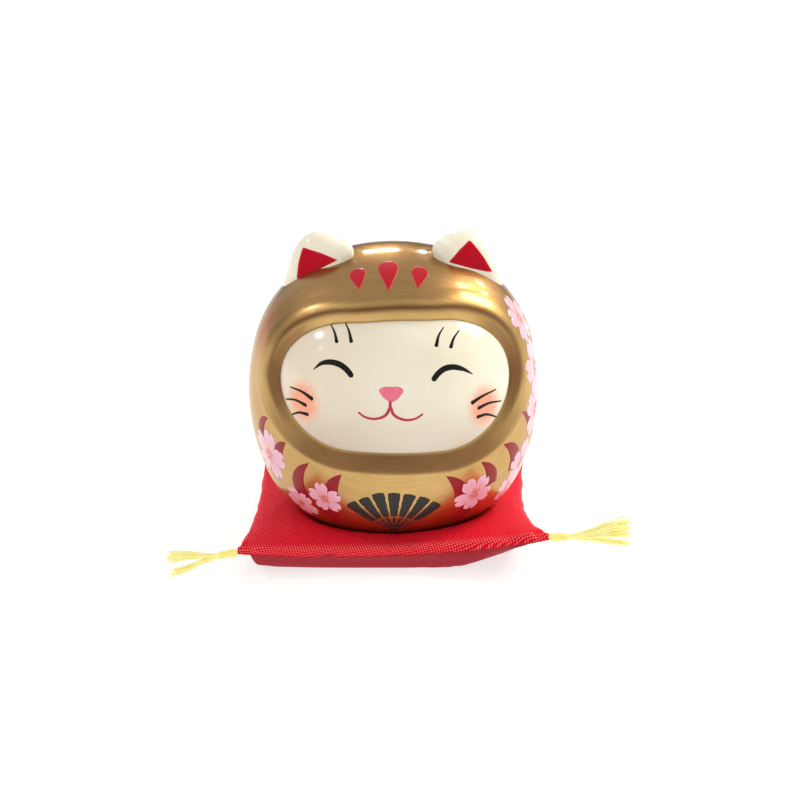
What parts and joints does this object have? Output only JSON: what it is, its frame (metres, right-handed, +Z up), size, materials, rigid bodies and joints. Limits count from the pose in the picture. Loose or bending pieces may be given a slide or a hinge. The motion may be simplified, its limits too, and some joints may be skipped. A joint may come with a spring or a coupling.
{
  "type": "cat daruma figurine",
  "caption": "Egg-shaped glazed ceramic cat figurine with a hooded face, loose on a square stuffed fabric cushion with a thread tassel at each corner.",
  "frame": {"origin": "middle of the cushion's underside, on the surface it stands on", "axes": "+Z up; the cat faces -Y; +X is to the right as seen from the front"},
  "size_m": [0.1267, 0.1093, 0.0916],
  "materials": {
    "gold_glaze": "gold lustre glaze, satin gloss with fine brushed streaks",
    "white_glaze": "glossy cream white glaze",
    "bare_clay": "unglazed bisque, matt",
    "red_twill": "red twill with a slight sheen",
    "cotton_wadding": "loose cotton wadding",
    "tassel_thread": "pale yellow rayon thread",
    "binding_thread": "orange yellow binding thread"
  },
  "bodies": {
    "cushion": {"cushion_wadding": "cotton_wadding", "cushion_cover_top": "red_twill", "cushion_cover_bottom": "red_twill"},
    "doll": {"body_shell": "gold_glaze", "face_panel": "white_glaze", "foot_ring": "bare_clay", "ear_left": "white_glaze", "ear_right": "white_glaze"},
    "tassel_front_left": {"tassel_front_left_knot": "binding_thread", "tassel_front_left_threads": "tassel_thread"},
    "tassel_front_right": {"tassel_front_right_knot": "binding_thread", "tassel_front_right_threads": "tassel_thread"},
    "tassel_back_left": {"tassel_back_left_knot": "binding_thread", "tassel_back_left_threads": "tassel_thread"},
    "tassel_back_right": {"tassel_back_right_knot": "binding_thread", "tassel_back_right_threads": "tassel_thread"}
  },
  "joints": [
    {"name": "doll_lift", "type": "slide", "parent": "cushion", "child": "doll", "axis": [0, 0, 1], "range_m": [0, 0.06]},
    {"name": "tassel_front_left_swing", "type": "hinge", "parent": "cushion", "child": "tassel_front_left", "pos_m": [-0.04428, -0.04308, 0.00786], "axis": [-0.1045, 0.9945, 0], "range_deg": [-4, 60]},
    {"name": "tassel_front_right_swing", "type": "hinge", "parent": "cushion", "child": "tassel_front_right", "pos_m": [0.04412, -0.04292, 0.01254], "axis": [-0.0698, -0.9976, 0], "range_deg": [-30, 60]},
    {"name": "tassel_back_left_swing", "type": "hinge", "parent": "cushion", "child": "tassel_back_left", "pos_m": [-0.04208, 0.04308, 0.00786], "axis": [0.9397, -0.342, 0], "range_deg": [-8, 60]},
    {"name": "tassel_back_right_swing", "type": "hinge", "parent": "cushion", "child": "tassel_back_right", "pos_m": [0.04203, 0.04303, 0.00967], "axis": [0.9397, 0.342, 0], "range_deg": [-16, 60]}
  ]
}
